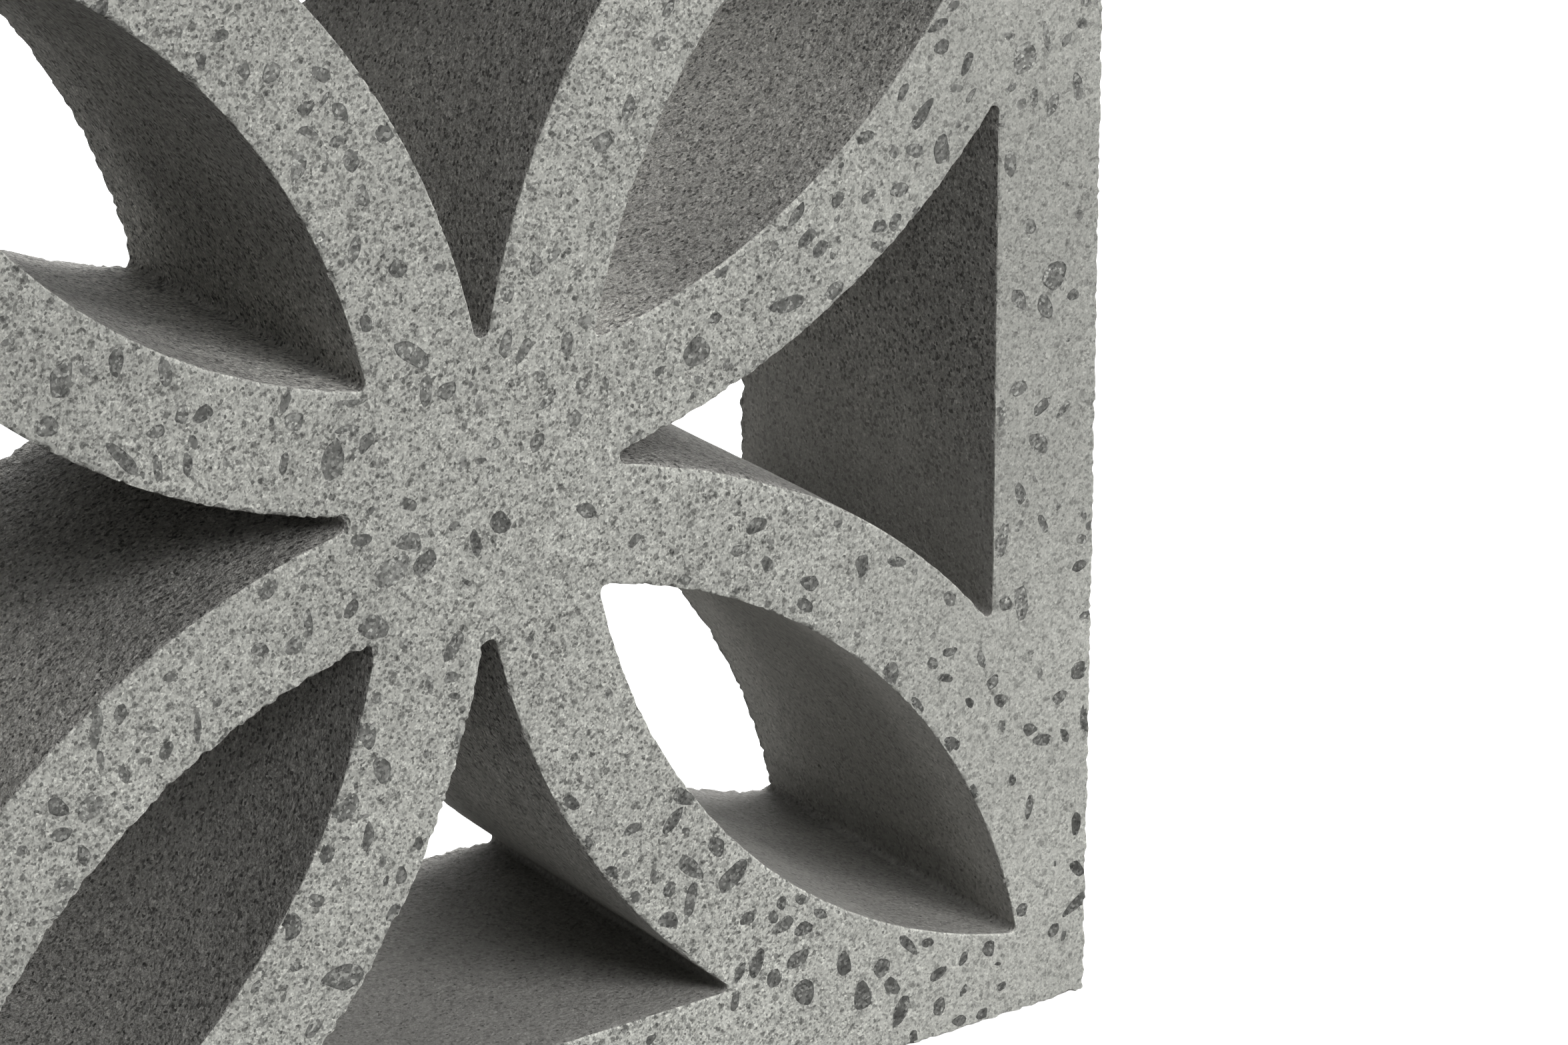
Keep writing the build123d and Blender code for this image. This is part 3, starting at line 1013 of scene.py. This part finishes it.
def cast_material():
    m = Nodes("cast_concrete")
    # the castings are closer and smoother in the lower right quarter
    axes = m.t.nodes.new("ShaderNodeSeparateXYZ")
    m.link(m.co, axes.inputs[0])
    low_right = m.math(
        "MULTIPLY",
        m.remap(axes.outputs["X"], 0.0, 0.05, 0.0, 1.0, smooth=True),
        m.remap(axes.outputs["Z"], 0.105, 0.145, 1.0, 0.0, smooth=True),
    )
    low = m.remap(axes.outputs["Z"], 0.027, 0.031, 1.0, 0.0, smooth=True)
    # these differences belong to the openings and stop at the back face and the outer sides
    height = m.math("ABSOLUTE", m.math("SUBTRACT", axes.outputs["Z"], 0.145))
    within = product(
        m,
        [
            m.remap(axes.outputs["Y"], 0.0425, 0.0448, 1.0, 0.0, smooth=True),
            m.remap(m.math("ABSOLUTE", axes.outputs["X"]), 0.132, 0.140, 1.0, 0.0, smooth=True),
            m.remap(height, 0.132, 0.140, 1.0, 0.0, smooth=True),
        ],
    )
    smooth = m.math("MULTIPLY", m.math("MAXIMUM", low_right, low), within)
    calm = m.math("SUBTRACT", 1.2, m.math("MULTIPLY", smooth, 0.66))

    def about_one(v):
        return m.math("ADD", m.math("MULTIPLY", m.math("SUBTRACT", v, 1.0), calm), 1.0)

    cloud = m.remap(m.noise(21, 3), 0.3, 0.7, 0.92, 1.08)
    mottle = m.remap(m.noise(170, 4, 0.62), 0.3, 0.7, 0.91, 1.09)
    g = m.channel(m.cells(1450, "Color"), 0)
    grain = m.math("ADD", m.remap(g, 0.0, 0.3, 0.42, 0.99), m.remap(g, 0.78, 1.0, 0.0, 0.40))
    f = m.channel(m.cells(2500, "Color"), 1)
    fine = m.math("ADD", m.remap(f, 0.0, 0.35, 0.66, 1.0), m.remap(f, 0.75, 1.0, 0.0, 0.28))
    # pin holes
    near = m.cells(640, "Distance")
    own = m.channel(m.cells(640, "Color"), 0)
    hole = m.remap(m.math("SUBTRACT", near, m.math("MULTIPLY", own, 0.22)), -0.03, 0.03, 1.0, 0.0)
    hole = m.math("MULTIPLY", hole, m.remap(own, 0.45, 0.55, 0.0, 1.0))
    holes = m.remap(hole, 0.0, 1.0, 1.0, 0.45)
    # painted light: paler to the right and in patches beside the hub; painted shade where a wall that looks up nears
    # the back
    side = m.remap(axes.outputs["X"], -0.12, 0.12, 0.93, 1.06)
    # painted light patches, each paler towards its middle
    pale = m.remap(m.distance((0.028, 0.173)), 0.0, 0.027, 1.55, 1.0, smooth=True)
    painted_light_high = m.remap(m.distance((0.085, 0.205)), 0.0, 0.050, 1.36, 1.0, smooth=True)
    painted_light_low = m.remap(m.distance((0.015, 0.076)), 0.0, 0.045, 1.5, 1.0, smooth=True)
    painted_light_left = m.remap(m.distance((-0.036, 0.169)), 0.0, 0.030, 1.5, 1.0, smooth=True)
    painted_light_west = m.remap(m.distance((-0.095, 0.112)), 0.0, 0.035, 1.5, 1.0, smooth=True)
    facing = m.t.nodes.new("ShaderNodeNewGeometry")
    look = m.t.nodes.new("ShaderNodeSeparateXYZ")
    m.link(facing.outputs["True Normal"], look.inputs[0])
    # painted shade on walls that look up, growing towards the back rim
    back_shade_mask = m.math(
        "MULTIPLY",
        m.remap(look.outputs["Z"], 0.25, 0.6, 0.0, 1.0, smooth=True),
        m.remap(
            axes.outputs["Y"],
            m.remap(axes.outputs["X"], 0.0, 0.07, 0.020, 0.014),
            m.remap(axes.outputs["X"], 0.0, 0.07, 0.038, 0.032),
            0.0,
            1.0,
            smooth=True,
        ),
    )
    back_shade = m.remap(back_shade_mask, 0.0, 1.0, 1.0, 0.73)
    # painted light: a wall that looks down is paler near the back, and in the lower right near the front too
    under = m.remap(look.outputs["Z"], -0.05, -0.3, 0.0, 1.0, smooth=True)
    painted_light_back = m.math("MULTIPLY", under, m.remap(axes.outputs["Y"], 0.018, 0.036, 0.0, 0.30, smooth=True))
    painted_light_front = product(
        m,
        [
            under,
            m.remap(axes.outputs["Y"], -0.018, -0.038, 0.0, 0.38, smooth=True),
            m.remap(axes.outputs["X"], 0.03, 0.06, 0.0, 1.0, smooth=True),
            m.remap(axes.outputs["Z"], 0.125, 0.105, 0.0, 1.0, smooth=True),
        ],
    )
    # painted light factor on walls that look down, near the back and front rims
    rims = m.math("ADD", m.math("ADD", painted_light_back, painted_light_front), 1.0)
    # painted shade: the floor of the bottom opening is darkened to 0.86
    tone = product(
        m,
        [pale, painted_light_high, painted_light_low, painted_light_left, painted_light_west, back_shade, rims, m.remap(low, 0.0, 1.0, 1.0, 0.86)],
    )
    tone = m.math("ADD", m.math("MULTIPLY", m.math("SUBTRACT", tone, 1.0), within), 1.0)
    value = product(m, [cloud, side, tone] + [about_one(v) for v in (mottle, grain, fine, holes)])
    m.link(m.tint((0.374, 0.368, 0.347), value), m.bsdf.inputs["Base Color"])
    m.bsdf.inputs["Roughness"].default_value = 0.9
    m.bsdf.inputs["Specular IOR Level"].default_value = 0.25
    h = m.math("ADD", m.noise(900, 3, 0.65), m.math("MULTIPLY", m.noise(380, 3), 0.9))
    h = m.math("MULTIPLY", m.math("SUBTRACT", h, m.math("MULTIPLY", hole, 1.2)), calm)
    m.link(m.bump(h, 1.0, 0.0009), m.bsdf.inputs["Normal"])
    return m.mat


for mat in (ground_material(), cast_material(), stone_material()):
    mesh.materials.append(mat)
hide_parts("block")
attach(piece, "root")

# ---------------------------------------------------------------- floor
floor_mesh = bpy.data.meshes.new("floor")
floor_mesh.from_pydata([(-6, -6, 0), (6, -6, 0), (6, 6, 0), (-6, 6, 0)], [], [(0, 1, 2, 3)])
floor = bpy.data.objects.new("floor", floor_mesh)
bpy.context.scene.collection.objects.link(floor)
fm = bpy.data.materials.new("floor")
fm.use_nodes = True
fb = fm.node_tree.nodes["Principled BSDF"]
fb.inputs["Base Color"].default_value = (0.55, 0.55, 0.55, 1)
fb.inputs["Roughness"].default_value = 0.9
fb.inputs["Specular IOR Level"].default_value = 0.0
fb.inputs["Emission Color"].default_value = (1, 1, 1, 1)
fb.inputs["Emission Strength"].default_value = 0.88
floor_mesh.materials.append(fm)

# a pale dome behind, so that low views end in the same plain white as the floor
rings, around, radius = 10, 48, 5.6
dome_co = [
    (radius * math.cos(e) * math.cos(a), radius * math.cos(e) * math.sin(a), radius * math.sin(e))
    for e in [0.5 * math.pi * i / rings for i in range(rings)]
    for a in [2 * math.pi * j / around for j in range(around)]
] + [(0.0, 0.0, radius)]
dome_faces = [
    (i * around + j, (i + 1) * around + j, (i + 1) * around + (j + 1) % around, i * around + (j + 1) % around)
    for i in range(rings - 1)
    for j in range(around)
] + [((rings - 1) * around + j, len(dome_co) - 1, (rings - 1) * around + (j + 1) % around) for j in range(around)]
dome_mesh = bpy.data.meshes.new("backdrop")
dome_mesh.from_pydata(dome_co, [], dome_faces)
dome = bpy.data.objects.new("backdrop", dome_mesh)
bpy.context.scene.collection.objects.link(dome)
glow_mat = fm.copy()
glow_mat.name = "backdrop"
glow_mat.node_tree.nodes["Principled BSDF"].inputs["Base Color"].default_value = (0, 0, 0, 1)
glow_mat.node_tree.nodes["Principled BSDF"].inputs["Emission Strength"].default_value = 1.0
dome_mesh.materials.append(glow_mat)
for pale_mat in (fm, glow_mat):
    pale_mat.cycles.emission_sampling = "NONE"
for plain in (floor, dome):
    plain.visible_diffuse = False
    plain.visible_glossy = False
    plain.visible_shadow = False

# ---------------------------------------------------------------- camera
yaw, pitch, roll = math.radians(35.139), math.radians(21.305), math.radians(-0.183)
ahead = Vector((math.sin(yaw) * math.cos(pitch), math.cos(yaw) * math.cos(pitch), -math.sin(pitch)))
right = Vector((math.cos(yaw), -math.sin(yaw), 0))
up = right.cross(ahead)
r2 = math.cos(roll) * right + math.sin(roll) * up
u2 = -math.sin(roll) * right + math.cos(roll) * up
cam = bpy.data.cameras.new("camera")
cam.sensor_width = 36
cam.sensor_fit = "HORIZONTAL"
cam.lens = 120.8
cam.clip_start = 0.01
cam.clip_end = 50
camera = bpy.data.objects.new("camera", cam)
bpy.context.scene.collection.objects.link(camera)
turn = Matrix((r2, u2, -ahead)).transposed().to_4x4()
camera.matrix_world = Matrix.Translation((-0.48183, -0.82600, 0.49566)) @ turn
bpy.context.scene.camera = camera

# ---------------------------------------------------------------- light
scene = bpy.context.scene
scene.view_settings.view_transform = "Standard"
scene.view_settings.look = "None"
world = bpy.data.worlds.new("studio")
scene.world = world
world.use_nodes = True
wt = world.node_tree
wt.nodes.clear()
wo = wt.nodes.new("ShaderNodeOutputWorld")
dim = wt.nodes.new("ShaderNodeBackground")
wt.links.new(dim.outputs[0], wo.inputs[0])
# Dim all round, a little brighter from behind and from the pale floor below.
way = wt.nodes.new("ShaderNodeTexCoord").outputs["Generated"]
split = wt.nodes.new("ShaderNodeSeparateXYZ")
wt.links.new(way, split.inputs[0])


def world_math(op, a, b):
    n = wt.nodes.new("ShaderNodeMath")
    n.operation = op
    for i, v in enumerate((a, b)):
        if isinstance(v, (int, float)):
            n.inputs[i].default_value = v
        else:
            wt.links.new(v, n.inputs[i])
    return n.outputs[0]


glow = 0.07
for axis, low, high in (("Y", 0.0, 0.105), ("Z", 0.233, 0.0)):
    side = world_math("GREATER_THAN", split.outputs[axis], 0.0)
    glow = world_math("ADD", glow, world_math("ADD", low, world_math("MULTIPLY", side, high - low)))
wt.links.new(glow, dim.inputs["Strength"])


def lamp(name, azimuth, elevation, distance, size, power):
    """Round soft light; azimuth 0 stands in front of the show face, 90 to its right."""
    a, e = math.radians(azimuth), math.radians(elevation)
    d = Vector((math.sin(a) * math.cos(e), -math.cos(a) * math.cos(e), math.sin(e)))
    data = bpy.data.lights.new(name, "AREA")
    data.shape = "DISK"
    data.size = size
    data.energy = power
    ob = bpy.data.objects.new(name, data)
    ob.location = Vector((0, 0, 0.145)) + d * distance
    ob.rotation_euler = d.to_track_quat("Z", "Y").to_euler()
    ob.visible_camera = False
    scene.collection.objects.link(ob)
    return ob


for name, azimuth, elevation, distance, size, power in (
    ("front_near", 0, 38, 1.1, 0.55, 4.35),
    ("right_near", 120, 10, 1.1, 0.55, 2.34),
    ("right_side", 120, 38, 1.1, 0.55, 5.93),
    ("back_near", 150, 38, 1.1, 0.55, 3.24),
    ("front_low", 30, 8, 2.5, 1.25, 15.24),
    ("front_high", 30, 28, 2.5, 1.25, 11.62),
    ("front_top", 0, 55, 2.5, 1.25, 2.07),
    ("right_top", 60, 55, 2.5, 1.25, 5.99),
    ("right_high", 120, 55, 2.5, 1.25, 31.56),
    ("back_low", 150, 8, 2.5, 1.25, 7.44),
    ("back_high", 180, 28, 2.5, 1.25, 5.42),
):
    lamp(name, azimuth, elevation, distance, size, power)

# ---------------------------------------------------------------- update
bpy.context.view_layer.update()
